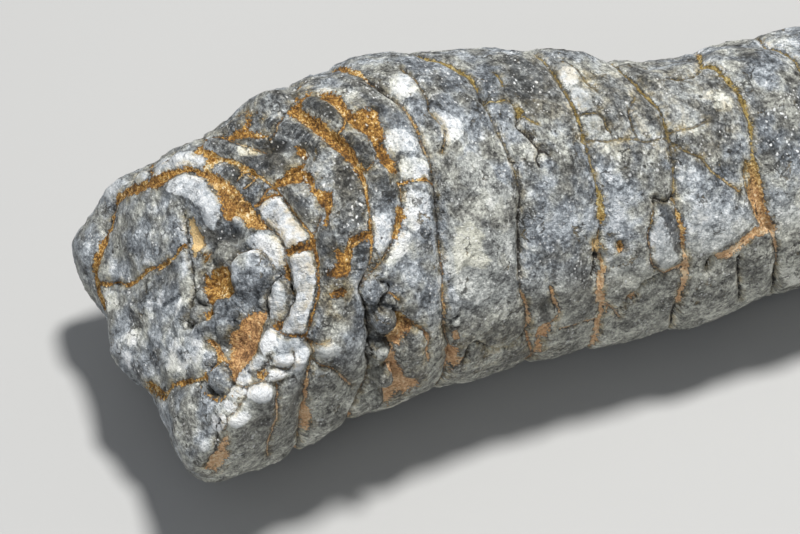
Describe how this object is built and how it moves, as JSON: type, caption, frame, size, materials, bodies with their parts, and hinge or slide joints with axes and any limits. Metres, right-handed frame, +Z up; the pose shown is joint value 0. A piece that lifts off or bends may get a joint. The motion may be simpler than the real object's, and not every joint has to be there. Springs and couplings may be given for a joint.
{
  "type": "orthoceras fossil",
  "caption": "Straight, tapered, chambered shell fossil in weathered calcite, broken obliquely at its wide end, lying on its side.",
  "frame": {"origin": "under the middle of the fossil's box, on the surface it lies on", "axes": "+X along the shell from its wide broken end to its narrow end, +Z up"},
  "size_m": [0.098, 0.0352, 0.0307],
  "materials": {
    "weathered_calcite": "mottled grey and white calcite with orange-brown clay in its cracks, matt with small crystal glints"
  },
  "bodies": {
    "root": {"orthoceras_fossil": "weathered_calcite"}
  },
  "joints": []
}
